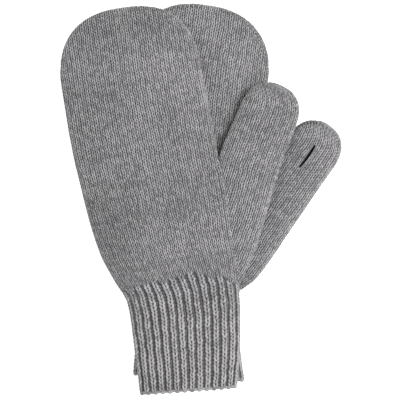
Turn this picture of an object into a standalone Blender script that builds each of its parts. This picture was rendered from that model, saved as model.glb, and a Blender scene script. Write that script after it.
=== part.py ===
"""A pair of knitted mittens lying flat, the left one across the right one.

The right mitten lies palm up on the surface. The left one lies on it with the back
of the hand up, and sags to the surface where nothing is under it. Each mitten is a
ribbed cuff with a rolled cast-on edge, a flat hand bag, and a thumb tube that grows
out of a wedge-shaped gusset. The thumb has a slit with bound edges on its palm side.
"""

import math

import bmesh
import bpy
from mathutils import Matrix, Vector

MM = 0.001

# Fabric
WALL = 2.5 * MM
GAP = 0.3 * MM
LAYER = 14.4 * MM  # height at which the upper mitten lies on the lower one

# Hand bag, along the mitten's own length from the cuff's mouth
HAND_HALF_THICK = 7.2 * MM
TIP = 287.0 * MM
TIP_ROUND = 53.0 * MM  # length over which the bag's end is rounded off
TIP_POWER = 2.4
NOSE = 15.0 * MM  # length over which the end thins to its closing seam
FLAT_SHARE = 0.93  # the underside is flattened at this share of the half thickness
HAND_SIDE_POWER = 3.0

# Ribbing
RIBS_ROUND = 26
RIB_DEPTH = 1.2 * MM
EDGE_ROLL = 1.15 * MM

# Thumb, along its own length from the crotch
THUMB_HALF_THICK = 6.7 * MM
GUSSET_HALF_THICK = 5.0 * MM
THUMB_ROUND = 25.0 * MM
THUMB_SIDE_POWER = 2.6
ROOT_BAND = 12.5 * MM  # soft rounds between the gusset and the thumb

# Slit in the thumb's palm side
SLIT_LENGTH = 21.0 * MM
SLIT_FROM_TIP = 28.5 * MM
SLIT_HALF_WIDTH = 1.1 * MM
SLIT_LIP = 0.6 * MM

SEAM = 0.6 * MM

# Rows of the hand: distance along, left edge, right edge (mm), tilt (degrees)
HAND_ROWS = (
    (108.0, -51.0, 47.5, 0.0),
    (150.0, -57.5, 47.0, 0.0),
    (195.0, -61.5, 45.0, 0.0),
    (235.0, -62.3, 42.5, 0.0),
)

# The two mittens. place is the origin (mm) and lean (degrees) of the mitten's own axes;
# cuff holds the rows below the hand; gusset holds rows of the thumb's own axis, which
# starts at thumb_root and leans thumb_lean from the hand; side is the palm's direction.
RIGHT = {
    "name": "right",
    "place": (-29.6, -141.95, -9.0),
    "cuff": (
        (12.0, -23.5, 60.5, 5.5),
        (42.0, -26.5, 52.0, 4.5),
        (72.0, -34.0, 47.0, 2.5),
        (88.0, -42.5, 47.5, 1.0),
    ),
    "cuff_top": 72.0 * MM,
    "thumb_root": (67.4, 162.5),
    "thumb_lean": 26.5,
    "thumb_length": 56.0 * MM,
    "gusset": (
        (-79.0, 10.0, 19.0),
        (-69.0, 2.0, 22.0),
        (-50.0, -9.0, 22.6),
        (-28.0, -17.0, 22.0),
        (0.0, -21.2, 21.4),
        (30.0, -21.2, 21.0),
    ),
    "palm": 1.0,
}
LEFT = {
    "name": "left",
    "place": (-9.6, -141.55, 8.1),
    "cuff": (
        (0.0, -36.5, 36.5, -4.0),
        (30.0, -36.0, 43.0, -3.2),
        (68.0, -36.5, 48.0, -2.0),
        (86.0, -43.5, 48.0, -1.0),
    ),
    "cuff_top": 68.0 * MM,
    "thumb_root": (67.8, 160.0),
    "thumb_lean": 30.1,
    "thumb_length": 61.0 * MM,
    "gusset": (
        (-86.0, 14.0, 27.0),
        (-78.0, 7.0, 28.0),
        (-60.0, -4.0, 28.5),
        (-40.0, -13.0, 27.3),
        (-15.0, -20.5, 24.5),
        (0.0, -22.5, 23.2),
        (30.0, -22.0, 22.2),
    ),
    "palm": -1.0,
}

GREY = (0.235, 0.228, 0.236)
RIB_GREY = (0.225, 0.218, 0.224)
SEAM_GREY = (0.120, 0.117, 0.121)


def clear_scene():
    for obj in list(bpy.data.objects):
        bpy.data.objects.remove(obj, do_unlink=True)


def new_collection(name):
    made = bpy.data.collections.new(name)
    bpy.context.scene.collection.children.link(made)
    return made


def fabric(name, colour):
    made = bpy.data.materials.new(name)
    made.use_nodes = True
    shader = made.node_tree.nodes["Principled BSDF"]
    shader.inputs["Base Color"].default_value = (*colour, 1.0)
    shader.inputs["Roughness"].default_value = 0.92
    shader.inputs["Metallic"].default_value = 0.0
    made.diffuse_color = (*colour, 1.0)
    return made


def along_rows(rows, t):
    """Values of the rows at t, on a smooth curve through them."""
    last = len(rows) - 1
    i = 0
    while i < last - 1 and t > rows[i + 1][0]:
        i += 1
    low, high = rows[i], rows[i + 1]
    before, after = rows[max(i - 1, 0)], rows[min(i + 2, last)]
    span = high[0] - low[0]
    u = (t - low[0]) / span
    values = []
    for k in range(1, len(low)):
        slope_low = (high[k] - before[k]) / (high[0] - before[0]) * span
        slope_high = (after[k] - low[k]) / (after[0] - low[0]) * span
        bend = (
            (2 * u**3 - 3 * u**2 + 1) * low[k]
            + (u**3 - 2 * u**2 + u) * slope_low
            + (3 * u**2 - 2 * u**3) * high[k]
            + (u**3 - u**2) * slope_high
        )
        values.append(bend)
    return values


def rounded(distance, length, power):
    """Share of the width left at this distance from the end of a rounded bag."""
    depth = min(max(1.0 - distance / length, 0.0), 1.0)
    return (1.0 - depth**power) ** (1.0 / power)


def hand_row(mitten, y):
    """Centre, half width and tilt of the hand or cuff at y, in the mitten's own axes."""
    rows = mitten["cuff"] + HAND_ROWS
    left, right, tilt = along_rows(rows, min(y / MM, rows[-1][0]))
    half = (right - left) / 2 * MM
    centre = (right + left) / 2 * MM
    if y > TIP - TIP_ROUND:
        half *= max(rounded(TIP - y, TIP_ROUND, TIP_POWER), 0.25)
    return centre, half, math.radians(tilt)


def to_world(mitten, point):
    x0, y0, lean = mitten["place"]
    turned = Matrix.Rotation(math.radians(lean), 3, "Z") @ Vector(point)
    return turned + Vector((x0 * MM, y0 * MM, 0.0))


def to_own(mitten, point):
    x0, y0, lean = mitten["place"]
    moved = Vector(point) - Vector((x0 * MM, y0 * MM, 0.0))
    return Matrix.Rotation(-math.radians(lean), 3, "Z") @ moved


def ground(mitten, point):
    """Height of what the mitten lies on. The upper one sags off the lower one's far side."""
    if mitten is RIGHT:
        return 0.0
    own = to_own(RIGHT, point)
    y = min(max(own.y, RIGHT["cuff"][0][0] * MM), TIP)
    centre, half, _ = hand_row(RIGHT, y)
    past = (own.x - (centre - half) + 34.0 * MM) / (46.0 * MM)
    past = min(max(past, 0.0), 1.0)
    return LAYER * (3.0 * past**2 - 2.0 * past**3)


def oval(half_wide, half_thick, power, count, depth=0.0):
    """Points evenly spaced round a flattened oval with a flat underside, with ribs."""
    dense = 720
    raw = []
    for i in range(dense + 1):
        angle = 2 * math.pi * i / dense
        c, s = math.cos(angle), math.sin(angle)
        x = half_wide * math.copysign(abs(c) ** (2 / power), c)
        raw.append(Vector((x, half_thick * max(s, -FLAT_SHARE))))
    run = [0.0]
    for a, b in zip(raw, raw[1:]):
        run.append(run[-1] + (b - a).length)
    points = []
    j = 0
    for i in range(count):
        want = run[-1] * i / count
        while run[j + 1] < want:
            j += 1
        step = max(run[j + 1] - run[j], 1e-12)
        points.append(raw[j].lerp(raw[j + 1], (want - run[j]) / step))
    if depth:
        wave = [0.5 - 0.5 * math.cos(2 * math.pi * (i * RIBS_ROUND / count)) for i in range(count)]
        for point, low in zip(points, wave):
            point.y -= math.copysign(depth, point.y) * low
    return points


def ring_on_hand(mitten, y, shrink=0.0, count=36, depth=0.0, wide=0.0):
    """World points of one ring round the hand or the cuff."""
    centre, half, tilt = hand_row(mitten, y)
    thin = max(rounded(TIP - y, NOSE, 2.2), 0.5)
    thick = HAND_HALF_THICK * thin
    outline = oval(half - shrink + wide, thick - shrink + wide, HAND_SIDE_POWER, count, depth)
    ring = []
    for p in outline:
        flat = Vector((centre + p.x * math.cos(tilt), y + p.x * math.sin(tilt), 0.0))
        place = to_world(mitten, flat)
        place.z = ground(mitten, place) + HAND_HALF_THICK * FLAT_SHARE + p.y
        ring.append(place)
    return ring


def thumb_row(mitten, v):
    """Centre offset, half width and half thickness of the thumb at v on its own axis."""
    rows = mitten["gusset"]
    left, right = along_rows(rows, min(max(v / MM, rows[0][0]), rows[-1][0]))
    half = (right - left) / 2 * MM
    centre = (right + left) / 2 * MM
    grow = min(max((v / MM - rows[0][0]) / -rows[0][0], 0.0), 1.0)
    thick = GUSSET_HALF_THICK + (THUMB_HALF_THICK - GUSSET_HALF_THICK) * math.sin(grow * math.pi / 2)
    end = mitten["thumb_length"]
    if v > end - THUMB_ROUND:
        half *= max(rounded(end - v, THUMB_ROUND, TIP_POWER), 0.3)
    thick *= max(rounded(end - v, NOSE * 0.8, 2.2), 0.55)
    return centre, half, thick


def thumb_point(mitten, x, v):
    """A point of the thumb's own plane, across x and along v, in world axes."""
    lean = math.radians(mitten["thumb_lean"])
    rx, ry = mitten["thumb_root"]
    own = Vector(
        (
            rx * MM + x * math.cos(lean) + v * math.sin(lean),
            ry * MM - x * math.sin(lean) + v * math.cos(lean),
            0.0,
        )
    )
    return to_world(mitten, own)


def ring_on_thumb(mitten, v, count=28, wide=0.0):
    centre, half, thick = thumb_row(mitten, v)
    ring = []
    for p in oval(half + wide, thick + wide, THUMB_SIDE_POWER, count):
        place = thumb_point(mitten, centre + p.x, v)
        place.z = ground(mitten, place) + HAND_HALF_THICK * FLAT_SHARE + p.y
        ring.append(place)
    return ring


def loft(name, rings, cap_first, cap_last):
    """A mesh through rings of equally many points, facing outwards."""
    mesh = bpy.data.meshes.new(name)
    bm = bmesh.new()
    loops = [[bm.verts.new(p) for p in ring] for ring in rings]
    for low, high in zip(loops, loops[1:]):
        for i in range(len(low)):
            j = (i + 1) % len(low)
            bm.faces.new((low[i], high[i], high[j], low[j]))
    if cap_first:
        bm.faces.new(loops[0])
    if cap_last:
        bm.faces.new(list(reversed(loops[-1])))
    for face in bm.faces:
        face.smooth = len(face.verts) == 4
    bm.to_mesh(mesh)
    bm.free()
    return mesh


def place_object(name, data, collection, pivot=None):
    """Adds the object. With a pivot it hangs from an empty on its hinge axis."""
    obj = bpy.data.objects.new(name, data)
    collection.objects.link(obj)
    if pivot is not None:
        if obj.type == "MESH":
            data.transform(Matrix.Translation(-pivot.location))
        obj.parent = pivot
    return obj


def finish_node(obj, material):
    obj.data.materials.clear()
    obj.data.materials.append(material)


def thicken(obj):
    shell = obj.modifiers.new("fabric", "SOLIDIFY")
    shell.thickness = WALL
    shell.offset = -1.0
    shell.use_even_offset = True


def cut(obj, cutter):
    carve = obj.modifiers.new("cut", "BOOLEAN")
    carve.operation = "DIFFERENCE"
    carve.object = cutter
    carve.solver = "EXACT"


def cutter_from(name, mesh, collection):
    obj = bpy.data.objects.new(name, mesh)
    collection.objects.link(obj)
    obj.hide_render = True
    obj.display_type = "WIRE"
    return obj


def steps(start, end, count):
    return [start + (end - start) * i / (count - 1) for i in range(count)]


def hand_stops(mitten, start):
    """Ring positions from start to the tip, closer together round the end."""
    straight = steps(start, TIP - TIP_ROUND, 8)
    turn = [TIP - TIP_ROUND * (1 - math.sin(math.radians(a))) for a in (22, 42, 58, 71, 81, 90)]
    return straight + turn


def thumb_stops(mitten, start):
    end = mitten["thumb_length"]
    turn = [end - THUMB_ROUND * (1 - math.sin(math.radians(a))) for a in (25, 48, 66, 80, 90)]
    return [start, (start + end - THUMB_ROUND) / 2, end - THUMB_ROUND] + turn


def build_hand(mitten, parts, cutters):
    """The bag of plain knitting, open at the wrist and where the gusset joins."""
    name = mitten["name"]
    stops = hand_stops(mitten, mitten["cuff_top"] + GAP)
    rings = [ring_on_hand(mitten, y) for y in stops]
    obj = place_object(f"{name}_hand", loft(f"{name}_hand", rings, False, True), parts)
    thicken(obj)
    floor_v = mitten["gusset"][0][0] * MM
    grown = [ring_on_thumb(mitten, v, wide=GAP) for v in steps(floor_v, GAP, 8)]
    cut(obj, cutter_from(f"{name}_gusset_space", loft("space", grown, True, True), cutters))
    return obj


def build_cuff(mitten, parts):
    """The ribbed wrist tube, open at both ends."""
    name = mitten["name"]
    bottom = mitten["cuff"][0][0] * MM
    stops = steps(bottom, mitten["cuff_top"], 5)
    rings = [ring_on_hand(mitten, y, count=3 * RIBS_ROUND, depth=RIB_DEPTH) for y in stops]
    obj = place_object(f"{name}_cuff", loft(f"{name}_cuff", rings, False, False), parts)
    thicken(obj)
    return obj


def tube_along(name, points, radius, parts, closed, sides=1, pivot=None):
    """A round cord through the points: a bevelled curve."""
    curve = bpy.data.curves.new(name, "CURVE")
    curve.dimensions = "3D"
    curve.bevel_depth = radius
    curve.bevel_resolution = sides
    curve.use_fill_caps = not closed
    line = curve.splines.new("POLY")
    line.points.add(len(points) - 1)
    shift = pivot.location if pivot else Vector((0.0, 0.0, 0.0))
    for point, place in zip(line.points, points):
        point.co = (*(place - shift), 1.0)
    line.use_cyclic_u = closed
    return place_object(name, curve, parts, pivot)


def build_cuff_edge(mitten, parts):
    """The cast-on roll round the cuff's mouth."""
    name = mitten["name"]
    bottom = mitten["cuff"][0][0] * MM
    middle = ring_on_hand(mitten, bottom, shrink=WALL / 2 + 0.2 * MM, count=48)
    out = to_world(mitten, (0.0, 0.0, 0.0)) - to_world(mitten, (0.0, 1.0, 0.0))
    tilt = math.radians(mitten["cuff"][0][3])
    out = Matrix.Rotation(tilt, 3, "Z") @ out
    path = [p + out * (EDGE_ROLL + GAP) for p in middle]
    return tube_along(f"{name}_cuff_edge", path, EDGE_ROLL, parts, True)


def build_gusset(mitten, parts, cutters):
    """The wedge of fabric that grows out of the hand's side up to the crotch."""
    name = mitten["name"]
    low = mitten["gusset"][0][0] * MM
    rings = [ring_on_thumb(mitten, v) for v in steps(low, 0.0, 9)]
    obj = place_object(f"{name}_thumb_gusset", loft(f"{name}_gusset", rings, False, False), parts)
    thicken(obj)
    stops = hand_stops(mitten, mitten["cuff_top"] - 8 * MM)
    whole = [ring_on_hand(mitten, y) for y in stops]
    cut(obj, cutter_from(f"{name}_hand_space", loft("space", whole, True, True), cutters))
    return obj


def build_thumb_root(mitten, parts):
    """The rounds of knitting that bend when the thumb swings."""
    name = mitten["name"]
    rings = [ring_on_thumb(mitten, v) for v in steps(GAP, ROOT_BAND, 3)]
    obj = place_object(f"{name}_thumb_root", loft(f"{name}_root", rings, False, False), parts)
    thicken(obj)
    return obj


def stadium(half_long, half_wide, arc):
    """Points of a slot's outline: two straight sides and round ends."""
    points = []
    for end in (1, -1):
        for i in range(arc):
            angle = math.pi * i / (arc - 1) - math.pi / 2
            x = half_wide * math.sin(angle) * -end
            points.append((x, end * (half_long - half_wide + half_wide * math.cos(angle))))
    return points


def slit_place(mitten, x, along):
    """A world point of the slit's plane, on the palm side of the thumb."""
    middle = mitten["thumb_length"] - SLIT_FROM_TIP
    v = middle + along
    _, _, thick = thumb_row(mitten, v)
    place = thumb_point(mitten, x, v)
    rise = HAND_HALF_THICK * FLAT_SHARE
    share = 1.0 if mitten["palm"] > 0 else -FLAT_SHARE
    place.z = ground(mitten, place) + rise + thick * share - mitten["palm"] * WALL / 2
    return place


def build_thumb(mitten, parts, cutters, pivot):
    """The free tube of the thumb, cut open by the slit on its palm side."""
    name = mitten["name"]
    rings = [ring_on_thumb(mitten, v) for v in thumb_stops(mitten, ROOT_BAND + GAP)]
    obj = place_object(f"{name}_thumb", loft(f"{name}_thumb", rings, False, True), parts, pivot)
    thicken(obj)
    half_wide = SLIT_HALF_WIDTH + SLIT_LIP + GAP
    outline = stadium(SLIT_LENGTH / 2 + SLIT_LIP + GAP, half_wide, 5)
    slot = []
    for lift in (-WALL, WALL):
        slot.append([slit_place(mitten, x, y) + Vector((0.0, 0.0, lift)) for x, y in outline])
    mesh = loft("slot", slot, True, True)
    cutter = cutter_from(f"{name}_slit_space", mesh, cutters)
    if mesh_volume(mesh) < 0:
        mesh.flip_normals()
    cut(obj, cutter)
    return obj


def mesh_volume(mesh):
    bm = bmesh.new()
    bm.from_mesh(mesh)
    size = bm.calc_volume(signed=True)
    bm.free()
    return size


def build_slit_edge(mitten, parts, pivot):
    """The bound-off lips of the slit."""
    path = [slit_place(mitten, x, y) for x, y in stadium(SLIT_LENGTH / 2, SLIT_HALF_WIDTH, 5)]
    return tube_along(f"{mitten['name']}_slit_edge", path, SLIT_LIP, parts, True, 1, pivot)


def build_hand_seam(mitten, parts):
    """The line of closing stitches round the hand's end."""
    off = SEAM + GAP
    path = []
    for side in (-1.0, 1.0):
        edge = []
        for a in steps(28, 90, 8):
            y = TIP - TIP_ROUND * (1 - math.sin(math.radians(a)))
            centre, half, _ = hand_row(mitten, y)
            grow = math.radians(a) ** 2 / (math.pi / 2) ** 2
            x = centre + side * (half + off * (1.4 - grow * 0.4))
            edge.append(Vector((x, y + off * grow, 0.0)))
        path += edge if side < 0 else list(reversed(edge))
    places = []
    for p in path:
        place = to_world(mitten, p)
        place.z = ground(mitten, place) + HAND_HALF_THICK * FLAT_SHARE
        places.append(place)
    return tube_along(f"{mitten['name']}_hand_tip_seam", places, SEAM, parts, False)


def build_thumb_seam(mitten, parts, pivot):
    """The line of closing stitches round the thumb's end."""
    off = SEAM + GAP
    end = mitten["thumb_length"]
    path = []
    for side in (-1.0, 1.0):
        edge = []
        for a in steps(35, 90, 6):
            v = end - THUMB_ROUND * (1 - math.sin(math.radians(a)))
            centre, half, _ = thumb_row(mitten, v)
            grow = math.radians(a) ** 2 / (math.pi / 2) ** 2
            x = centre + side * (half + off * (1.5 - grow * 0.5))
            place = thumb_point(mitten, x, v + off * grow)
            place.z = ground(mitten, place) + HAND_HALF_THICK * FLAT_SHARE
            edge.append(place)
        path += edge if side < 0 else list(reversed(edge))
    return tube_along(f"{mitten['name']}_thumb_tip_seam", path, SEAM, parts, False, 1, pivot)


def thumb_pivot(mitten, parts):
    """An empty on the upright axis about which the thumb swings."""
    pivot = bpy.data.objects.new(f"{mitten['name']}_thumb_axis", None)
    place = thumb_point(mitten, 0.0, ROOT_BAND / 2)
    place.z = ground(mitten, place) + HAND_HALF_THICK * FLAT_SHARE
    pivot.location = place
    parts.objects.link(pivot)
    return pivot


def build_mitten(mitten, parts, cutters, wool, rib, seam):
    pivot = thumb_pivot(mitten, parts)
    finish_node(build_hand(mitten, parts, cutters), wool)
    finish_node(build_cuff(mitten, parts), rib)
    finish_node(build_cuff_edge(mitten, parts), rib)
    finish_node(build_gusset(mitten, parts, cutters), wool)
    finish_node(build_thumb_root(mitten, parts), wool)
    finish_node(build_thumb(mitten, parts, cutters, pivot), wool)
    finish_node(build_slit_edge(mitten, parts, pivot), seam)
    finish_node(build_hand_seam(mitten, parts), seam)
    finish_node(build_thumb_seam(mitten, parts, pivot), seam)


def main():
    clear_scene()
    parts = new_collection("knitted_mittens")
    cutters = new_collection("cutters")
    wool = fabric("wool_plain_knit", GREY)
    rib = fabric("wool_rib_knit", RIB_GREY)
    seam = fabric("wool_seam", SEAM_GREY)
    for mitten in (RIGHT, LEFT):
        build_mitten(mitten, parts, cutters, wool, rib, seam)


main()
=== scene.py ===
"""The looks of a pair of grey knitted mittens, one lying across the other.

Every piece is a sheet of knitting built on the shape of the CAD model: its stitches
are modelled one by one as relief, in rows and columns that follow the real knitting.
"""

import math

import bpy
import numpy as np
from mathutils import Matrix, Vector

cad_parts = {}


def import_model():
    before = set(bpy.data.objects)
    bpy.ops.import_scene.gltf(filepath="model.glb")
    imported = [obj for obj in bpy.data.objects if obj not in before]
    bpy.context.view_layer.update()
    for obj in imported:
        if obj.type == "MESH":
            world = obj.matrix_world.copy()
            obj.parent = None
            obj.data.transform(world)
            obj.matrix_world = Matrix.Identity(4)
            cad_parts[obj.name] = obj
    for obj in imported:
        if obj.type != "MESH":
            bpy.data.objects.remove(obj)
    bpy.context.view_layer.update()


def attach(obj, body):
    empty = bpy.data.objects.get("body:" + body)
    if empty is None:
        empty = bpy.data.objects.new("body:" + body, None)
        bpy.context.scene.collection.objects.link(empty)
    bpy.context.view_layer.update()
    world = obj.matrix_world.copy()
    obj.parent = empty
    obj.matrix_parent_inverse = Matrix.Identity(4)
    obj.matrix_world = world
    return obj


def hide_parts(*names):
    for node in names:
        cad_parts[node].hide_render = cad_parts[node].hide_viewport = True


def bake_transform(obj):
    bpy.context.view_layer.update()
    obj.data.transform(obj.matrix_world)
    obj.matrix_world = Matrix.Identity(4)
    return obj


MM = 0.001

# ---------------------------------------------------------------- the CAD's sizes
WALL = 2.5 * MM
LAYER = 14.4 * MM  # thickness of one mitten
HALF_THICK = 7.2 * MM
TIP = 287.0 * MM
TIP_ROUND = 53.0 * MM  # length of the hand's rounded end
TIP_POWER = 2.4
NOSE = 15.0 * MM  # length over which the end gets thinner
NOSE_POWER = 2.2
FLAT_SHARE = 0.93  # the underside is flat at this share of the half thickness
MIDDLE = HALF_THICK * FLAT_SHARE
HAND_POWER = 3.0
THUMB_HALF_THICK = 6.7 * MM
GUSSET_HALF_THICK = 5.0 * MM
THUMB_ROUND = 25.0 * MM
THUMB_POWER = 2.6
SLIT_LENGTH = 21.0 * MM
SLIT_FROM_TIP = 28.5 * MM
SLIT_HALF_WIDTH = 1.1 * MM
SLIT_BOW = 0.5 * MM  # how far the slit's middle line bows sideways
SAG_WIDTH = 46.0 * MM  # where the upper mitten comes down off the lower one
SAG_FROM_EDGE = 34.0 * MM
CUFF_ROWS_BELOW = 8.0  # mm that the cuff's lines go on below its first row
GUSSET_ROWS_BELOW = 10.0  # mm that the gusset's lines go on below its first row

# Rows are (along, left edge, right edge, tilt in degrees), in mm of the mitten's own plane.
HAND_ROWS = (
    (108.0, -51.0, 47.5, 0.0),
    (150.0, -57.5, 47.0, 0.0),
    (195.0, -61.5, 45.0, 0.0),
    (235.0, -62.3, 42.5, 0.0),
)
# place is (x, y, lean in degrees), and gusset's rows are (along, left edge, right edge)
# on the thumb's own axis.
RIGHT = {
    "name": "right",
    "place": (-29.6, -141.95, -9.0),
    "cuff": (
        (12.0, -23.5, 60.5, 5.5),
        (42.0, -26.5, 52.0, 4.5),
        (72.0, -34.0, 47.0, 2.5),
        (88.0, -42.5, 47.5, 1.0),
    ),
    "cuff_top": 72.0 * MM,
    "thumb_root": (67.4, 162.5),
    "thumb_lean": 26.5,
    "thumb_length": 56.0 * MM,
    "gusset": (
        (-79.0, 10.0, 19.0),
        (-69.0, 2.0, 22.0),
        (-50.0, -9.0, 22.6),
        (-28.0, -17.0, 22.0),
        (0.0, -21.2, 21.4),
        (30.0, -21.2, 21.0),
    ),
    "palm": 1.0,
    "seed": 11,
}
LEFT = {
    "name": "left",
    "place": (-9.6, -141.55, 8.1),
    "cuff": (
        (0.0, -36.5, 36.5, -4.0),
        (30.0, -36.0, 43.0, -3.2),
        (68.0, -36.5, 48.0, -2.0),
        (86.0, -43.5, 48.0, -1.0),
    ),
    "cuff_top": 68.0 * MM,
    "thumb_root": (67.8, 160.0),
    "thumb_lean": 30.1,
    "thumb_length": 61.0 * MM,
    "gusset": (
        (-86.0, 14.0, 27.0),
        (-78.0, 7.0, 28.0),
        (-60.0, -4.0, 28.5),
        (-40.0, -13.0, 27.3),
        (-15.0, -20.5, 24.5),
        (0.0, -22.5, 23.2),
        (30.0, -22.0, 22.2),
    ),
    "palm": -1.0,
    "seed": 47,
}

# ---------------------------------------------------------------- the knitting
WALE = 3.3 * MM  # width of one column of stitches
COURSE = 2.4 * MM  # height of one row
RIB_COURSE = 2.75 * MM
RIBS = 27  # round the cuff
STITCH_RELIEF = 0.95 * MM
RIB_RELIEF = 2.1 * MM
HAND_SWELL = 0.6 * MM  # how far the soft sides stand out
THUMB_SWELL = 0.8 * MM
DIP = 0.7 * MM  # depth of the slow dips of cloth that lies on a table
HAND_SINK = 1.2 * MM  # how far an open edge dives under the next piece
THUMB_SINK = 1.1 * MM
SINK_COLUMNS = 7.0
LINING_GAP = 0.1 * MM  # the lining is this much nearer the outside than the wall's depth
THUMB_LINING_GAP = 0.2 * MM
LINING_RIB_DEPTH = 0.9 * MM
LINING_THUMB_STEP = 1.0 * MM
LINING_THUMB_COLUMNS = 101
UNION_POWER = 6.0  # how sharply the hand's and the thumb's shapes meet
HAND_REACH = 14.0 * MM  # how far the hand's own shape goes on under the gusset
HAND_COLUMNS = 721  # an odd number, so that the end can be folded shut
THUMB_COLUMNS = 321
ROW_STEP = 0.41 * MM
INSIDE_EVERY = 5  # the inside has one row for this many outside
RIB_TOPS = (  # where the ribbing ends: across, along (mm)
    (-46.0, 73.0),
    (-20.0, 79.5),
    (16.0, 84.0),
    (36.0, 79.0),
    (49.0, 69.0),
)
RIB_SCATTER = 2.0  # mm that a rib may end above or below that line
RIB_FADE = 7.0  # mm over which it ends
LIP_OUT = 0.45 * MM  # how far the slit's edging lies from the slit
LIP_DEPTH = 0.75 * MM
SEAM_RADIUS = 0.5 * MM
SEAM_DEPTH = 0.1 * MM  # how far a seam's yarn lies below the surface it closes
HAND_SEAM_GO = (3.4, 2.6, 1.8, 1.1, 0.6)  # mm in from the outline, along one seam stitch
THUMB_SEAM_GO = (3.6, 2.9, 2.2, 1.6, 1.1)
SEAM_ROUND_SHARE = 0.985


def smooth(t):
    """0 below 0, 1 above 1, and a smooth step between."""
    t = np.clip(t, 0.0, 1.0)
    return t * t * (3.0 - 2.0 * t)


def chance(*keys):
    """A fixed pseudo-random number from 0 to 1 for each set of whole numbers."""
    keys = [np.atleast_1d(key) for key in keys]
    mixed = np.zeros(np.broadcast(*keys).shape, np.uint64)
    for k, key in enumerate(keys):
        part = np.asarray(np.rint(key), np.int64).astype(np.uint64)
        mixed = (mixed ^ (part + np.uint64(0x9E3779B9 + 977 * k))) * np.uint64(0xBF58476D1CE4E5B9)
        mixed ^= mixed >> np.uint64(29)
    mixed = mixed * np.uint64(0x94D049BB133111EB)
    mixed ^= mixed >> np.uint64(32)
    return (mixed & np.uint64(0xFFFFFF)).astype(np.float64) / 0xFFFFFF


def wander(x, y, seed):
    """Smooth noise from -1 to 1 over a square lattice."""
    x0, y0 = np.floor(x), np.floor(y)
    fx, fy = smooth(x - x0), smooth(y - y0)
    corner = [chance(x0 + i, y0 + j, np.full_like(x0, seed)) for i in (0, 1) for j in (0, 1)]
    low = corner[0] * (1 - fy) + corner[1] * fy
    high = corner[2] * (1 - fy) + corner[3] * fy
    return 2.0 * (low * (1 - fx) + high * fx) - 1.0


def along_rows(rows, t):
    """Values of the rows at each t, on smooth curves; beyond the ends they go straight on."""
    table = np.array(rows)
    knots, last = table[:, 0], len(rows) - 1
    t = np.asarray(t, float)
    i = np.searchsorted(knots[1:-1], t, side="left")
    low, high = table[i], table[i + 1]
    before, after = table[np.maximum(i - 1, 0)], table[np.minimum(i + 2, last)]
    span = high[..., :1] - low[..., :1]
    u = (t[..., None] - low[..., :1]) / span
    slope_low = (high - before) / (high[..., :1] - before[..., :1]) * span
    slope_high = (after - low) / (after[..., :1] - low[..., :1]) * span
    inside = np.clip(u, 0.0, 1.0)
    values = (
        (2 * inside**3 - 3 * inside**2 + 1) * low
        + (inside**3 - 2 * inside**2 + inside) * slope_low
        + (3 * inside**2 - 2 * inside**3) * high
        + (inside**3 - inside**2) * slope_high
    )
    values = values + np.minimum(u, 0.0) * slope_low + np.maximum(u - 1.0, 0.0) * slope_high
    return [values[..., k] for k in range(1, table.shape[1])]


def rounded(distance, length, power):
    """Share of the full width at a distance from a rounded end."""
    depth = np.clip(1.0 - distance / length, 0.0, 1.0)
    return (1.0 - depth**power) ** (1.0 / power)


def hand_row(mitten, y):
    """Centre, half width before the tip's rounding, and tilt of the hand or cuff at y."""
    rows = mitten["cuff"] + HAND_ROWS
    stop = np.clip(np.asarray(y) / MM, rows[0][0] - CUFF_ROWS_BELOW, rows[-1][0])
    left, right, tilt = along_rows(rows, stop)
    return (right + left) / 2 * MM, (right - left) / 2 * MM, np.radians(tilt)


def tip_share(y, least=0.0):
    """Share of the hand's width that its rounded end leaves at y."""
    share = np.where(y > TIP - TIP_ROUND, rounded(TIP - y, TIP_ROUND, TIP_POWER), 1.0)
    return share.clip(least)


def nose_share(y):
    """Share of the hand's thickness that its thinner end leaves at y."""
    return float(rounded(TIP - y, NOSE, NOSE_POWER).clip(0.12))


def to_world(mitten, x, y):
    """World x and y of a place in the mitten's own plane."""
    x0, y0, lean = mitten["place"]
    c, s = math.cos(math.radians(lean)), math.sin(math.radians(lean))
    return c * x - s * y + x0 * MM, s * x + c * y + y0 * MM


def to_own(mitten, x, y):
    """The mitten's own x and y of a world place."""
    x0, y0, lean = mitten["place"]
    c, s = math.cos(math.radians(lean)), math.sin(math.radians(lean))
    x, y = x - x0 * MM, y - y0 * MM
    return c * x + s * y, -s * x + c * y


def ground(mitten, wx, wy):
    """Height of what the mitten lies on: the upper one sags off the lower one's far side."""
    if mitten is RIGHT:
        return np.zeros_like(wx)
    x, y = to_own(RIGHT, wx, wy)
    y = np.clip(y, RIGHT["cuff"][0][0] * MM, TIP)
    centre, half, _ = hand_row(RIGHT, y)
    half = half * tip_share(y, 0.25)
    return LAYER * smooth((x - (centre - half) + SAG_FROM_EDGE) / SAG_WIDTH)


def thumb_to_own(mitten, x, v):
    """The mitten's own x and y of a place across and along the thumb's axis."""
    lean = math.radians(mitten["thumb_lean"])
    rx, ry = mitten["thumb_root"]
    return (
        rx * MM + x * math.cos(lean) + v * math.sin(lean),
        ry * MM - x * math.sin(lean) + v * math.cos(lean),
    )


def own_to_thumb(mitten, x, y):
    """Across and along the thumb's axis, for a place in the mitten's own plane."""
    lean = math.radians(mitten["thumb_lean"])
    rx, ry = mitten["thumb_root"]
    x, y = x - rx * MM, y - ry * MM
    return x * math.cos(lean) - y * math.sin(lean), x * math.sin(lean) + y * math.cos(lean)


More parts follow.
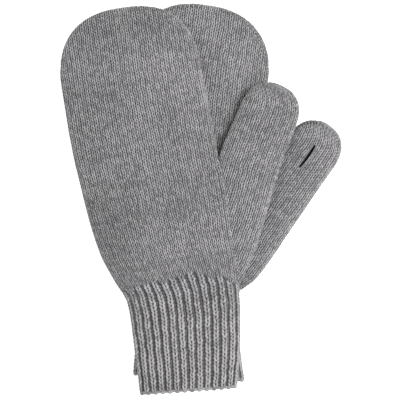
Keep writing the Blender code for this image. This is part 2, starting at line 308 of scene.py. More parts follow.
def thumb_row(mitten, v):
    """Centre offset, half width and half thickness of the thumb at v on its own axis."""
    rows = mitten["gusset"]
    left, right = along_rows(rows, np.clip(v / MM, rows[0][0] - GUSSET_ROWS_BELOW, rows[-1][0]))
    half = np.maximum((right - left) / 2 * MM, 0.0)
    centre = (right + left) / 2 * MM
    grow = np.clip((v / MM - rows[0][0]) / -rows[0][0], 0.0, 1.0)
    thick = GUSSET_HALF_THICK + (THUMB_HALF_THICK - GUSSET_HALF_THICK) * np.sin(grow * math.pi / 2)
    end = mitten["thumb_length"]
    half = half * np.where(v > end - THUMB_ROUND, rounded(end - v, THUMB_ROUND, TIP_POWER), 1.0)
    thick = thick * rounded(end - v, NOSE * 0.8, NOSE_POWER).clip(0.14)
    thick = thick * np.sqrt(smooth((v - mitten["gusset_start"]) / (14.0 * MM)))
    return centre, half, thick


def reach(mitten, y):
    """How far past the hand's right edge its own shape goes on, under the gusset."""
    up = smooth((mitten["crotch"] - y) / (45.0 * MM))
    return HAND_REACH * up * smooth((y - mitten["gusset_low"]) / (24.0 * MM))


def hand_profile(mitten, x, y):
    """Height share of the hand's own shape at points of the mitten's plane."""
    centre, half, tilt = hand_row(mitten, y)
    row = y - (x - centre) * np.sin(tilt)
    centre, half, tilt = hand_row(mitten, row)
    half = half * tip_share(row)
    more = reach(mitten, row)
    across = ((x - centre) / np.cos(tilt) - more / 2) / np.maximum(half + more / 2, 1e-6)
    return np.sqrt(np.clip(1.0 - np.abs(across) ** HAND_POWER, 0.0, 1.0))


def thumb_profile(mitten, x, y):
    """Height share of the thumb's and gusset's own shape."""
    across, v = own_to_thumb(mitten, x, y)
    centre, half, thick = thumb_row(mitten, v)
    across = (across - centre) / np.maximum(half, 1e-6)
    share = np.sqrt(np.clip(1.0 - np.abs(across) ** THUMB_POWER, 0.0, 1.0)) * thick / HALF_THICK
    return np.where((v > mitten["gusset_start"]) & (v < mitten["thumb_length"]), share, 0.0)


def united(a, b):
    """The two shapes as one, without a crease and never much over 1."""
    both = (a**UNION_POWER + b**UNION_POWER) ** (1.0 / UNION_POWER)
    knee = 0.85
    return np.where(both < knee, both, knee + (1 - knee) * np.tanh((both - knee) / (1 - knee)))


def prepare(mitten):
    """Finds where the thumb's knitting meets the hand's, and where the crotch is."""
    y = np.linspace(60 * MM, 200 * MM, 2801)
    centre, half, tilt = hand_row(mitten, y)
    edge = own_to_thumb(mitten, centre + half * np.cos(tilt), y + half * np.sin(tilt))
    rows = mitten["gusset"]
    left, right = along_rows(
        rows, np.clip(edge[1] / MM, rows[0][0] - GUSSET_ROWS_BELOW, rows[-1][0])
    )
    inside = (edge[0] < right * MM) & (edge[0] > left * MM)
    first, last = np.flatnonzero(inside)[[0, -1]]
    mitten["gusset_low"], mitten["crotch"] = y[first], y[last]
    mitten["gusset_start"] = edge[1][first]
    mitten["line"] = (edge[1], edge[0])  # along and across the thumb


# ---------------------------------------------------------------- rings of the shape
TURN = np.linspace(0.0, 1.0, 721)


def evenly(columns, *lines):
    """The lines' values at evenly spaced places along the ring, and the length up to each."""
    points = np.stack(lines[:3])
    step = np.sqrt((np.diff(points, axis=1) ** 2).sum(0))
    run = np.concatenate([[0.0], np.cumsum(step)])
    wanted = np.linspace(0.0, run[-1], columns)
    return [np.interp(wanted, run, line) for line in lines], wanted, run


def round_power(angle, power):
    return np.sign(np.cos(angle)) * np.abs(np.cos(angle)) ** (2.0 / power)


def hand_ring(mitten, y, columns, shrink=0.0):
    """One row round the hand or cuff, from its right side over the top and back below.

    Gives own x and y, height above the middle, the distance from the middle of the face
    to the right, +1 for the top and -1 for the underside, and whether the row is closed.
    The last value is the run from the right side to the middle of the top, and the half
    width.
    """
    centre, half, tilt = (float(k) for k in hand_row(mitten, y))
    thin = nose_share(y)
    half = max(half * float(tip_share(y)) - shrink, 0.4 * MM)
    more = float(reach(mitten, y)) if shrink == 0 else 0.0
    middle, wide = more / 2, half + more / 2
    stop = min(half + min(more, 1.0 * MM), half + more)
    share = min(max((stop - middle) / wide, 0.0), 1.0)
    start = math.acos(share ** (HAND_POWER / 2)) if more > 1.0 * MM else 0.0
    angle = start + TURN * 2 * (math.pi - start)
    across = middle + wide * round_power(angle, HAND_POWER)
    x = centre + across * math.cos(tilt)
    own_y = y + across * math.sin(tilt)
    part = np.abs(np.sin(angle))
    if shrink == 0:
        part = united(part, thumb_profile(mitten, x, own_y))
    else:
        part = part * (HALF_THICK - shrink) / HALF_THICK
    high = HALF_THICK * thin * part
    low = HALF_THICK * thin * np.minimum(part, FLAT_SHARE)
    z = np.where(np.sin(angle) >= 0, high, -low)
    (x, own_y, z, angle), at, run = evenly(columns, x, own_y, z, angle)
    asked = start + TURN * 2 * (math.pi - start)
    top = float(np.interp(math.pi / 2, asked, run))
    low_middle = float(np.interp(math.pi * 1.5, asked, run))
    face = np.where(angle <= math.pi, 1.0, -1.0)
    off = np.where(face > 0, top - at, at - low_middle)
    return x, own_y, z, off + middle, face, start == 0.0, (top, wide)


def thumb_ring(mitten, v, columns, shrink=0.0):
    """One row round the thumb or gusset, from its left side below, round the right side
    and back over the top.

    Gives own x and y, height above the middle, the run from the right side, and whether
    the row is closed.
    """
    centre, half, thick = (float(k) for k in thumb_row(mitten, np.array(v)))
    half, thick = max(half - shrink, 0.4 * MM), max(thick - shrink, 0.3 * MM)
    share = -1.0
    if shrink == 0:
        begin = float(np.interp(v, *mitten["line"])) - 1.0 * MM
        share = min(max((begin - centre) / max(half, 1e-6), -1.0), 0.999)
    stop = math.acos(math.copysign(abs(share) ** (THUMB_POWER / 2), share))
    angle = (TURN * 2 - 1) * stop
    across = centre + half * round_power(angle, THUMB_POWER)
    x, own_y = thumb_to_own(mitten, across, v)
    part = np.abs(np.sin(angle)) * thick / HALF_THICK
    if shrink == 0:
        part = united(part, hand_profile(mitten, x, own_y))
    z = np.where(angle >= 0, part, -np.minimum(part, FLAT_SHARE)) * HALF_THICK
    (x, own_y, z, angle), at, run = evenly(columns, x, own_y, z, angle)
    right = float(np.interp(0.0, (TURN * 2 - 1) * stop, run))
    return x, own_y, z, at - right, share <= -1.0


# ---------------------------------------------------------------- stitches
LEG_FROM, LEG_SPAN = -0.1, 1.36  # where a leg starts and how long it is, in rows
# Each pair is a value for plain knitting and what full ribbing adds to it.
LEG_START = (0.10, -0.045)  # how far out a leg starts, in widths of a column
LEG_LEAN = (0.22, 0.03)  # how far it leans out from there
LEG_WIDTH = (0.168, 0.02)
RIDGE = (0.25, 0.15)  # half width of a ridge, in pairs of columns
LEG_TAPER = 0.035
ROW_UNEVEN, WALE_UNEVEN, WALE_DRIFT = 0.2, 0.13, 0.1  # in rows and columns
HOLLOW_DEPTH, GUTTER_DEPTH = 0.66, 0.34  # shares of the ribs' relief
LEG_TONE, STREAK_TONE, BROAD_TONE = 0.5, 0.11, 0.1
# painted shade: how much the colour is darkened in the ribs' hollows and gutters, and how much the
# whole ribbing's colour is lifted
HOLLOW_SHADE, GUTTER_SHADE, RIB_SHADE = 0.55, 0.25, 0.12


def stitch(across, along, rib):
    """Relief of plain knitting, from -1 in the gaps to 0 on the yarn, and which yarn it is.

    across runs from -0.5 to 0.5 over a column, and along counts rows. Each stitch
    shows two legs that lean apart like a V and slip under the legs of the next row.
    """
    away = np.abs(across)
    best = np.full(across.shape, -1.0)
    row_of = np.floor(along)
    strand = np.zeros(across.shape)
    for k in (-1.0, 0.0, 1.0):
        row = np.floor(along) + k
        t = (along - row - LEG_FROM) / LEG_SPAN
        live = (t > 0) & (t < 1)
        t = np.clip(t, 0.0, 1.0)
        spread = np.sin(math.pi / 2 * np.minimum(t / 0.8, 1.0))
        middle = LEG_START[0] + LEG_START[1] * rib + (LEG_LEAN[0] + LEG_LEAN[1] * rib) * spread
        wide = LEG_WIDTH[0] + LEG_WIDTH[1] * rib - LEG_TAPER * np.abs(2 * t - 1) ** 2
        off = (away - middle) / wide
        hump = np.sin(math.pi * t**1.05) ** 0.7
        height_and_painted_shade = -1.0 + 0.5 * hump + 0.5 * np.sqrt(np.clip(1 - off**2, 0.0, 1.0))
        height_and_painted_shade = np.where(live & (np.abs(off) < 1), height_and_painted_shade, -1.0)
        better = height_and_painted_shade > best
        best = np.where(better, height_and_painted_shade, best)
        row_of = np.where(better, row, row_of)
        strand = np.where(better, off, strand)
    return best, row_of, strand


def knitting(wale, row, rib, seed):
    """Relief in metres (never above 0), tone, painted shade, strand and wale of knitting.

    rib goes from 0 for plain knitting to 1 for ribbing.
    """
    row = row + ROW_UNEVEN * wander(wale * 0.9, row * 0.8, seed + 7)
    near = WALE_UNEVEN * wander(wale * 0.6, row * 0.8, seed + 8)
    far = WALE_DRIFT * wander(wale / 8, row / 12, seed + 9)
    wale = wale + near + far
    pair = wale / 2.0 - 0.25
    away = pair - np.rint(pair)  # -0.5 to 0.5 between the middles of two gutters
    ridge = RIDGE[0] + RIDGE[1] * rib
    on_ridge = np.abs(away) < ridge
    up = 0.5 * away / ridge
    down = 0.5 * np.sign(away) * (np.abs(away) - 0.5) / (0.5 - ridge)
    across = np.where(on_ridge, up, down)
    column = 2 * np.rint(pair) + np.where(on_ridge, 0.0, np.sign(away))
    height_and_painted_shade, row_of, strand = stitch(across, row, rib)
    hollow = np.where(on_ridge, 1.0 - np.sqrt(np.clip(1.0 - (1.82 * up) ** 2, 0.0, 1.0)), 1.0)
    gutter = np.where(on_ridge, 0.0, 1.0 - np.abs(2 * across))
    relief_and_painted_shade = STITCH_RELIEF * height_and_painted_shade * np.where(on_ridge, 1.0 + 0.1 * rib, 1.0 - 0.6 * rib)
    relief_and_painted_shade = relief_and_painted_shade - RIB_RELIEF * rib * (HOLLOW_DEPTH * hollow + GUTTER_DEPTH * gutter)
    side = np.where(across >= 0, 1.0, 0.0)
    leg = chance(column * 2 + side, row_of, np.full_like(row_of, seed))
    jump = 37.0 * chance(row_of, np.full_like(row_of, seed))
    streak = wander(wale / 5.0 + jump, row_of * 0.9, seed + 3)
    broad = wander(wale / 9.0, row / 11.0, seed + 5)
    tone = LEG_TONE * (leg - 0.5) + STREAK_TONE * streak + BROAD_TONE * broad
    # painted shade: the stitch's height, made darker in the ribs' hollows and gutters and lifted
    # over the ribbing; the material darkens the colour by it, in the gaps where shade falls
    shade = height_and_painted_shade - rib * (HOLLOW_SHADE * hollow + GUTTER_SHADE * gutter) + RIB_SHADE * rib
    return relief_and_painted_shade, tone, shade, strand, wale


# ---------------------------------------------------------------- meshes
WHOLE = (0.01, 0.01, 0.99, 0.99)  # a UV box
OUTSIDE = (0.01, 0.01, 0.99, 0.84)
LINING = (0.01, 0.86, 0.99, 0.99)
RIM = np.array([[0.0, 0.0], [0.004, 0.0], [0.004, 0.004], [0.0, 0.004]])


def mesh_from_grid(points, closed, uv_box, skip=None, shut=False):
    """Vertices, quads and UVs of a grid. A closed row's last point is its first.

    With shut, the top and the underside share the points of the last row.
    """
    rows, columns = points.shape[:2]
    index = np.arange(rows * columns).reshape(rows, columns)
    index[closed, -1] = index[closed, 0]
    if shut:
        index[-1] = np.minimum(index[-1], index[-1][::-1])
        points = points.copy()
        points[-1] = (points[-1] + points[-1][::-1]) / 2
    quads = np.stack([index[:-1, :-1], index[1:, :-1], index[1:, 1:], index[:-1, 1:]], -1)
    u, v = np.meshgrid(np.linspace(0, 1, columns), np.linspace(0, 1, rows))
    u = uv_box[0] + (uv_box[2] - uv_box[0]) * u
    v = uv_box[1] + (uv_box[3] - uv_box[1]) * v
    grid = np.stack([u, v], -1)
    corners = np.stack([grid[:-1, :-1], grid[1:, :-1], grid[1:, 1:], grid[:-1, 1:]], -2)
    keep = np.ones(quads.shape[:2], bool) if skip is None else ~skip
    return points.reshape(-1, 3), quads[keep], corners[keep]


def build_mesh(name, parts, attributes, rims=()):
    """One mesh from (points, quads, uv corners) parts, with point attributes.

    Each rim is (first points, last points) of equally many point numbers of the first
    part and the second, which it joins with quads.
    """
    count, points, quads, uvs, starts = 0, [], [], [], []
    for p, q, c in parts:
        starts.append(count)
        points.append(p)
        quads.append(q + count)
        uvs.append(c)
        count += len(p)
    for outer, inner in rims:
        inner = inner + starts[1]
        rim = np.stack([outer[:-1], outer[1:], inner[1:], inner[:-1]], -1)
        quads.append(rim)
        uvs.append(np.tile(RIM, (len(rim), 1, 1)))
    points, quads, uvs = np.concatenate(points), np.concatenate(quads), np.concatenate(uvs)
    used = np.zeros(len(points), bool)
    used[quads] = True
    renumber = np.cumsum(used) - 1
    points, quads = points[used], renumber[quads]
    mesh = bpy.data.meshes.new(name)
    mesh.vertices.add(len(points))
    mesh.vertices.foreach_set("co", points.astype(np.float32).ravel())
    mesh.loops.add(quads.size)
    mesh.loops.foreach_set("vertex_index", quads.astype(np.int32).ravel())
    mesh.polygons.add(len(quads))
    mesh.polygons.foreach_set("loop_start", np.arange(0, quads.size, 4, dtype=np.int32))
    mesh.polygons.foreach_set("use_smooth", np.ones(len(quads), bool))
    mesh.update(calc_edges=True)
    layer = mesh.uv_layers.new(name="OFBake")
    layer.data.foreach_set("uv", uvs.astype(np.float32).ravel())
    for key, values in attributes.items():
        values = np.concatenate([v.reshape(-1) for v in values])[used]
        made = mesh.attributes.new(key, "FLOAT", "POINT")
        made.data.foreach_set("value", values.astype(np.float32))
    mesh.validate()
    obj = bpy.data.objects.new(name, mesh)
    bpy.context.scene.collection.objects.link(obj)
    return obj


def normals_of(points):
    """Outward unit normals of a grid of points."""
    by_row = np.gradient(points, axis=0)
    by_column = np.gradient(points, axis=1)
    normal = np.cross(by_row, by_column)
    return normal / np.maximum(np.linalg.norm(normal, axis=-1, keepdims=True), 1e-12)


def in_place(mitten, x, y, z):
    """World points from own x and y and height above the middle."""
    wx, wy = to_world(mitten, x, y)
    return np.stack([wx, wy, ground(mitten, wx, wy) + MIDDLE + z], -1)


def hand_stops(start, end, step):
    """Row places, closer together round the tip so that its outline stays smooth."""
    straight = np.arange(start, min(end, TIP - TIP_ROUND), step)
    if end <= TIP - TIP_ROUND:
        return np.append(straight, end)
    turn = np.linspace(0.0, math.pi / 2, int(TIP_ROUND * 1.45 / step))
    return np.concatenate([straight, TIP - TIP_ROUND * (1 - np.sin(turn))])


def course_number(y, mitten):
    """Number of the row of stitches at y; the ribbing's rows are higher."""
    top = mitten["cuff_top"]
    return np.where(y < top, y / RIB_COURSE, top / RIB_COURSE + (y - top) / COURSE)


def hand_surface(mitten, stops, columns, shrink=0.0):
    """Grids of own x, y and z, share of the way round, row number and closed rows.

    The share is 0 at the right edge, 1 at the left edge and up to 2 on the underside.
    """
    rings = [hand_ring(mitten, y, columns, shrink) for y in stops]
    x, y, z, off, face = (np.stack([r[k] for r in rings]) for k in range(5))
    closed = np.array([r[5] for r in rings])
    full = hand_row(mitten, np.minimum(stops, TIP - TIP_ROUND))[1]
    edge = (full + mitten["side_arc"])[:, None]
    share = (edge - off) / (2 * edge)
    share = np.where(face > 0, share, 2.0 - share)
    row = np.repeat(course_number(stops, mitten)[:, None], columns, 1)
    return x, y, z, share, row, closed


def rib_amount(x, y, share, seed):
    """1 in the ribbing, 0 in plain knitting; each rib ends at a height of its own."""
    tops = np.interp(x / MM, *np.array(RIB_TOPS).T)
    rib = np.rint(share * RIBS / 2 - 0.25)
    each = (chance(rib, np.full(share.shape, seed)) * 2.0 - 1.0) * RIB_SCATTER
    return 1.0 - smooth((y / MM - tops - each + RIB_FADE / 2) / RIB_FADE)


def two_knits(mitten, share, row, rib, seed):
    """Ribbing below, plain knitting above, and one growing out of the other between."""
    plain = knitting(share * mitten["wales"], row, np.zeros(share.shape), seed)
    ribbed = knitting(share * RIBS, row, np.minimum(rib * 1.6, 1.0), seed)
    mix = smooth((rib - 0.05) / 0.45)
    return [a * (1 - mix) + b * mix for a, b in zip(plain, ribbed)]


def measure_side(mitten):
    """Length of the curved side beyond the flat face, from the cuff's top row."""
    y = mitten["cuff_top"] - 2 * MM
    ring = hand_ring(mitten, y, 200)
    top, wide = ring[6]
    mitten["side_arc"] = top - wide
    widest = float(hand_row(mitten, TIP - 2 * TIP_ROUND)[1]) + mitten["side_arc"]
    mitten["wales"] = round(2 * widest / WALE)


def undulate(x, y, seed, depth):
    """Slow dips of soft fabric that lies on a table, never above 0."""
    slow = wander(x / (34 * MM), y / (41 * MM), seed)
    slow = slow + 0.5 * wander(x / (15 * MM), y / (18 * MM), seed + 1)
    return depth * (slow / 1.5 - 1.0) / 2.0


def edge_fade(closed, columns):
    """1 at the two ends of each open row, falling to 0 a few columns in."""
    from_line = np.minimum(np.arange(columns), np.arange(columns)[::-1])[None, :]
    return np.where(~closed[:, None], np.clip(1.0 - from_line / SINK_COLUMNS, 0.0, 1.0), 0.0)


def any_corner(marked):
    """Quads of a grid that have a marked point."""
    return marked[:-1, :-1] | marked[1:, :-1] | marked[1:, 1:] | marked[:-1, 1:]


def build_hand(mitten, wool, ribbing):
    """The cuff and the hand: an outside with stitches, and a plainer lining."""
    name, seed = mitten["name"], mitten["seed"]
    bottom = mitten["cuff"][0][0] * MM
    for piece, start, end in (
        ("cuff_ribbing", bottom, mitten["cuff_top"]),
        ("hand_bag", mitten["cuff_top"], TIP),
    ):
        stops = hand_stops(start, end, ROW_STEP)
        x, y, z, share, row, closed = hand_surface(mitten, stops, HAND_COLUMNS)
        base = in_place(mitten, x, y, z)
        normal = normals_of(base)
        rib = rib_amount(x, stops[:, None] + 0 * x, share, seed)
        # the third value is the stitches' painted shade, which the material turns into darker
        # colour in the gaps
        relief_and_painted_shade, tone, height_and_painted_shade, strand, wale = two_knits(mitten, share, row, rib, seed)
        sink = edge_fade(closed, HAND_COLUMNS)
        relief_and_painted_shade = relief_and_painted_shade * (1.0 - sink) - HAND_SINK * sink
        swell = HAND_SWELL * smooth(1.6 - 2.0 * np.abs(z) / HALF_THICK)
        swell = swell * smooth((y - 66 * MM) / (20 * MM))
        above_crotch = smooth((y - mitten["crotch"]) / (45 * MM))
        swell = swell * np.where(np.abs(share - 1.0) < 0.5, 1.0, above_crotch)
        lower = relief_and_painted_shade + swell * (1 - sink) + undulate(x, y, seed, DIP) * (1 - rib * 0.6)
        outer = base + normal * lower[..., None]
        shut = piece == "hand_bag"
        parts = [mesh_from_grid(outer, closed, OUTSIDE, shut=shut)]
        inner_stops = stops[::INSIDE_EVERY]
        if (len(stops) - 1) % INSIDE_EVERY != 0:
            inner_stops = np.append(inner_stops, stops[-1])
        cols = HAND_COLUMNS
        ix, iy, iz, ishare, irow, iclosed = hand_surface(
            mitten, inner_stops, cols, WALL - LINING_GAP
        )
        inside = in_place(mitten, ix, iy, iz)
        irib = rib_amount(ix, inner_stops[:, None] + 0 * ix, ishare, seed)
        iwale = ishare * RIBS
        wave = 0.5 - 0.5 * np.cos(2 * math.pi * (iwale / 2 - 0.25))
        inside = inside + normals_of(inside) * (-LINING_RIB_DEPTH * irib * (1 - wave))[..., None]
        points, quads, corners = mesh_from_grid(inside, iclosed, LINING, shut=shut)
        parts.append((points, quads[:, ::-1], corners[:, ::-1]))
        blank = np.zeros(ix.shape)
        itone = 0.5 * (chance(np.floor(iwale), np.floor(irow), blank + seed) - 0.5)
        rims = []
        for end_row in (0,) if shut else (0, -1):  # the hand's far end is shut
            first = np.arange(len(stops) * cols).reshape(-1, cols)[end_row].copy()
            second = np.arange(len(inner_stops) * cols).reshape(-1, cols)[end_row].copy()
            first[-1], second[-1] = first[0], second[0]
            rims.append((first, second) if end_row == 0 else (first[::-1], second[::-1]))
        obj = build_mesh(
            f"{name}_{piece}",
            parts,
            {
                "tone": [tone, itone],
                # painted shade for the material: the stitches' own on the outside, one fixed level
                # on the lining
                "relief_and_painted_shade": [height_and_painted_shade, blank - 0.35],
                "wale": [wale, iwale],
                "course": [row, irow],
                "strand": [strand, blank],
            },
            rims,
        )
        obj.data.materials.append(ribbing if piece == "cuff_ribbing" else wool)
        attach(obj, f"{name}_mitten")
        mitten[piece] = obj
    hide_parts(f"{name}_cuff")
    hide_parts(f"{name}_hand")


def thumb_stops(mitten, start, step):
    """Places of the thumb's rows, closer together round its end."""
    end = mitten["thumb_length"]
    straight = np.arange(start, end - THUMB_ROUND, step)
    turn = np.linspace(0.0, math.pi / 2, int(THUMB_ROUND * 1.5 / step))
    return np.concatenate([straight, end - THUMB_ROUND * (1 - np.sin(turn))])


def in_slit(mitten, x, y, face, grow):
    """Whether points of the palm side lie in the slit's outline."""
    across, v = own_to_thumb(mitten, x, y)
    v = v - (mitten["thumb_length"] - SLIT_FROM_TIP)
    bend = slit_bend(v)
    straight = SLIT_LENGTH / 2 - SLIT_HALF_WIDTH
    past = np.maximum(np.abs(v) - straight, 0.0)
    near = np.hypot(across - bend, past) < SLIT_HALF_WIDTH + grow
    return near & (face * mitten["palm"] > 0)


def slit_bend(along):
    """Sideways place of the slit's middle line."""
    return SLIT_BOW * (1 - (along / (SLIT_LENGTH / 2)) ** 2)


def build_thumb(mitten, wool):
    """The thumb with its gusset and root in one knit, and the thumb's lining."""
    name, seed = mitten["name"], mitten["seed"] + 100
    stops = thumb_stops(mitten, mitten["gusset_start"] + 0.3 * MM, ROW_STEP)
    rings = [thumb_ring(mitten, v, THUMB_COLUMNS) for v in stops]
    x, y, z, off = (np.stack([r[k] for r in rings]) for k in range(4))
    closed = np.array([r[4] for r in rings])
    base = in_place(mitten, x, y, z)
    normal = normals_of(base)
    wale = off / WALE
    row = np.repeat((stops / COURSE)[:, None], THUMB_COLUMNS, 1)
    # the third value is the stitches' painted shade, which the material turns into darker colour in
    # the gaps
    relief_and_painted_shade, tone, height_and_painted_shade, strand, _ = knitting(wale, row, np.zeros(wale.shape), seed)
    sink = edge_fade(closed, THUMB_COLUMNS)
    relief_and_painted_shade = relief_and_painted_shade * (1.0 - sink) - THUMB_SINK * sink
    swell = THUMB_SWELL * smooth(1.6 - 2.0 * np.abs(z) / HALF_THICK) * (1 - sink)
    swell = swell * smooth((22 * MM - np.abs(off)) / (6 * MM))
    lower = relief_and_painted_shade + swell + undulate(x, y, mitten["seed"], DIP)
    outer = base + normal * lower[..., None]
    face = np.where(off > 0, 1.0, -1.0)
    skip = any_corner(in_slit(mitten, x, y, face, 0.25 * MM))
    parts = [mesh_from_grid(outer, closed, WHOLE, skip, shut=True)]
    inner_stops = thumb_stops(mitten, -4 * MM, LINING_THUMB_STEP)[:-2]
    cols = LINING_THUMB_COLUMNS
    inner = [thumb_ring(mitten, v, cols, WALL - THUMB_LINING_GAP) for v in inner_stops]
    ix, iy, iz, ioff = (np.stack([r[k] for r in inner]) for k in range(4))
    inside = in_place(mitten, ix, iy, iz)
    iface = np.where(ioff > 0, 1.0, -1.0)
    skip = any_corner(in_slit(mitten, ix, iy, iface, 0.3 * MM))
    every = np.ones(len(inner), bool)
    points, quads, corners = mesh_from_grid(inside, every, WHOLE, skip, shut=True)
    blank = np.zeros(ix.shape)
    iwale, irow = ioff / WALE, np.repeat((inner_stops / COURSE)[:, None], cols, 1)
    # the thumb's lining is made darker: its tone is 0.2 lower than the outside's
    itone = 0.5 * (chance(np.floor(iwale), np.floor(irow), blank + seed) - 0.5) - 0.2
    obj = build_mesh(
        f"{name}_thumb_knit",
        parts,
        # the stitches' painted shade goes to the material as the relief attribute
        {"tone": [tone], "relief_and_painted_shade": [height_and_painted_shade], "wale": [wale], "course": [row], "strand": [strand]},
    )
    lining = build_mesh(
        f"{name}_thumb_inside",
        [(points, quads[:, ::-1], corners[:, ::-1])],
        {
            "tone": [itone],
            # one fixed painted shade level, deeper than on the hand's lining
            "relief_and_painted_shade": [blank - 0.6],
            "wale": [iwale],
            "course": [irow],
            "strand": [blank],
        },
    )
    for made in (obj, lining):
        made.data.materials.append(wool)
        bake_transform(made)
    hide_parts(f"{name}_thumb_gusset", f"{name}_thumb_root", f"{name}_thumb")
    mitten["thumb_knit"], mitten["thumb_inside"] = obj, lining


def tube(path, radii, sides, closed):
    """Grid of points of a tube round the path, with the radius at each point of it."""
    path = np.asarray(path, float)
    if closed:
        ahead, behind = np.roll(path, -1, 0), np.roll(path, 1, 0)
    else:
        ahead, behind = np.vstack([path[1:], path[-1:]]), np.vstack([path[:1], path[:-1]])
    along = ahead - behind
    along /= np.maximum(np.linalg.norm(along, axis=1, keepdims=True), 1e-12)
    up = np.tile(np.array([0.0, 0.0, 1.0]), (len(path), 1))
    flat = np.abs(along[:, 2]) > 0.95
    up[flat] = (1.0, 0.0, 0.0)
    side = np.cross(along, up)
    side /= np.linalg.norm(side, axis=1, keepdims=True)
    up = np.cross(side, along)
    turn = np.linspace(0, 2 * math.pi, sides + 1)
    radii = np.broadcast_to(radii, (len(path),))[:, None, None]
    ring = np.cos(turn)[None, :, None] * side[:, None] + np.sin(turn)[None, :, None] * up[:, None]
    points = path[:, None] + radii * ring
    return np.vstack([points, points[:1]]) if closed else points


def build_cast_on(mitten, ribbing):
    """The cast-on edge: a row of loops that ends each rib with a small round lobe."""
    name = mitten["name"]
    bottom = mitten["cuff"][0][0] * MM
    count = RIBS * 2 * 8
    ring = hand_ring(mitten, bottom, count + 1, WALL / 2 + 0.3 * MM)
    x, y, z, off, face = (k[:-1] for k in ring[:5])
    edge = ring[6][0]
    wale = RIBS * (edge - off) / (2 * edge)
    wale = np.where(face > 0, wale, 2 * RIBS - wale)
    lobe = 0.5 + 0.5 * np.cos(2 * math.pi * (wale / 2 - 0.25))
    tilt = float(hand_row(mitten, bottom)[2])
    reach_out = (0.2 + 0.75 * lobe) * MM
    x = x + math.sin(tilt) * reach_out
    y = y - math.cos(tilt) * reach_out
    path = in_place(mitten, x, y, z - np.sign(z) * 0.55 * MM * (1 - lobe))
    bead = np.abs(np.sin(math.pi * wale))
    radii = (1.05 + 0.28 * lobe - 0.22 * (1 - bead)) * MM
    grid = tube(path, radii, 12, True)
    closed = np.ones(len(grid), bool)
    rows = np.repeat(np.append(wale, wale[0])[:, None], grid.shape[1], 1)
    tone = 0.5 * (chance(np.floor(rows), np.full(rows.shape, mitten["seed"] + 9)) - 0.5)
    blank = np.zeros(rows.shape)
    obj = build_mesh(
        f"{name}_cast_on_edge",
        [mesh_from_grid(grid, closed, WHOLE)],
        {
            "tone": [tone],
            # one fixed painted shade level for the whole edge
            "relief_and_painted_shade": [blank - 0.25],
            "wale": [rows],
            "course": [blank],
            "strand": [blank],
        },
    )
    obj.data.materials.append(ribbing)
    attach(obj, f"{name}_mitten")
    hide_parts(f"{name}_cuff_edge")


def lip_path(mitten, count):
    """Points round the slit's mouth, on the thumb's surface."""
    middle = mitten["thumb_length"] - SLIT_FROM_TIP
    turn = np.linspace(0, 2 * math.pi, count, endpoint=False)
    straight = SLIT_LENGTH / 2 - SLIT_HALF_WIDTH
    along = np.clip(np.cos(turn) * 1.25, -1, 1) * straight + np.cos(turn) * SLIT_HALF_WIDTH
    across = np.sin(turn)
    across = np.sign(across) * np.abs(across) ** 0.55 * (SLIT_HALF_WIDTH + LIP_OUT)
    across = across + slit_bend(along)
    v = middle + along
    centre, half, thick = thumb_row(mitten, v)
    share = np.sqrt(np.clip(1 - np.abs((across - centre) / half) ** THUMB_POWER, 0, 1))
    share = united(thick * share / HALF_THICK, np.zeros(len(share)))
    share = share if mitten["palm"] > 0 else np.minimum(share, FLAT_SHARE)
    z = mitten["palm"] * (share * HALF_THICK - LIP_DEPTH)
    x, y = thumb_to_own(mitten, across, v)
    return in_place(mitten, x, y, z + undulate(x, y, mitten["seed"], DIP) * mitten["palm"])


def seam_piece(name, grids, tone, seam, body, replaced):
    """One piece made of tubes of seam yarn, each a little lighter or darker."""
    parts, tones = [], []
    for k, grid in enumerate(grids):
        box = (0.01, 0.01 + 0.98 * k / len(grids), 0.99, 0.01 + 0.98 * (k + 0.9) / len(grids))
        parts.append(mesh_from_grid(grid, np.ones(len(grid), bool), box))
        tones.append(np.full(grid.shape[:2], tone) + 0.3 * (chance(np.array(float(k))) - 0.5))
    blank = [np.zeros(t.shape) for t in tones]
    obj = build_mesh(
        name,
        parts,
        {
            "tone": tones,
            # one fixed painted shade level for all the seam yarn
            "relief_and_painted_shade": [b - 0.15 for b in blank],
            "wale": blank,
            "course": blank,
            "strand": blank,
        },
    )
    obj.data.materials.append(seam)
    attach(obj, body)
    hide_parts(replaced)


def build_slit_lips(mitten, seam):
    """The bound-off edge round the slit."""
    name = mitten["name"]
    count = 240
    path = lip_path(mitten, count)
    bead = 0.5 + 0.5 * np.cos(2 * math.pi * np.arange(count) / count * 20)
    radii = (0.52 + 0.12 * bead) * MM
    grid = tube(path, radii, 10, True)
    seam_piece(
        f"{name}_slit_lips", [grid], -0.12, seam, f"{name}_thumb_tube", f"{name}_slit_edge"
    )


def stitch_over(path_points):
    """A short bent piece of yarn through the points, thinner where it enters the fabric."""
    places = np.linspace(0, 1, 9)
    source = np.linspace(0, 1, len(path_points))
    path = np.stack([np.interp(places, source, np.array(path_points)[:, k]) for k in range(3)], -1)
    full = np.sqrt(np.clip(np.sin(math.pi * (places * 0.9 + 0.05)), 0.05, 1))
    return tube(path, SEAM_RADIUS * full, 8, False)


